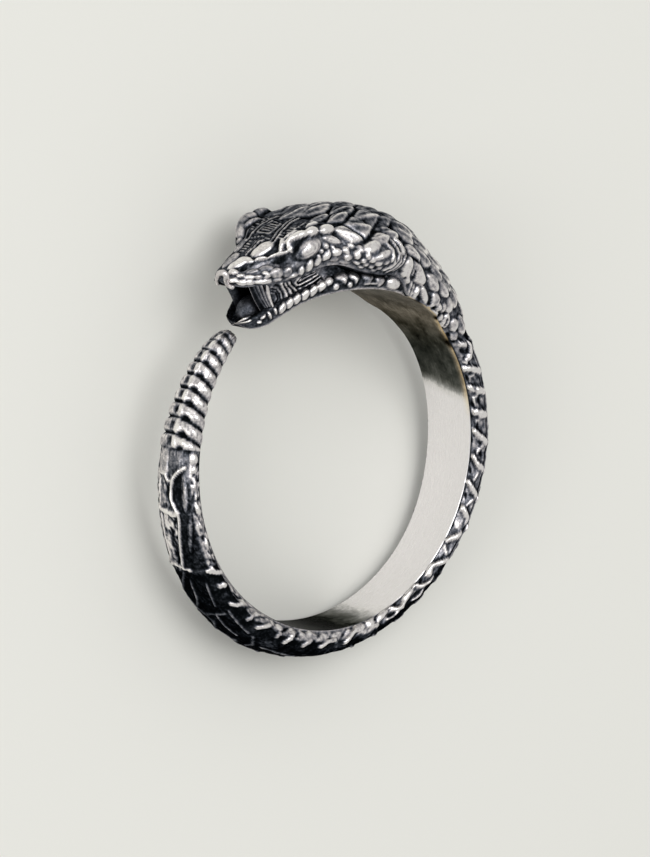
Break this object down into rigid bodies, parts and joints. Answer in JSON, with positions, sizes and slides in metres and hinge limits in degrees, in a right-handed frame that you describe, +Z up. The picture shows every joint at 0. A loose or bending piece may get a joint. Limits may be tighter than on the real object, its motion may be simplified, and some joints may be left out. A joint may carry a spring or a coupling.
{
  "type": "finger ring",
  "caption": "Open finger ring shaped as a coiled snake, with a fanged head, scaled trunk and a rattle ending at the chin.",
  "frame": {"origin": "centre of the bounding box at the surface the ring lies on", "axes": "+Z up from that surface, with the finger hole's axis leaning about seven degrees from it; +Y towards the snake's head, +X across the ring"},
  "size_m": [0.0212, 0.024, 0.0084],
  "materials": {
    "oxidised_silver": "cast silver, blackened in the recesses and polished on the high points, brushed inside"
  },
  "bodies": {
    "root": {"snake_ring": "oxidised_silver"}
  },
  "joints": []
}
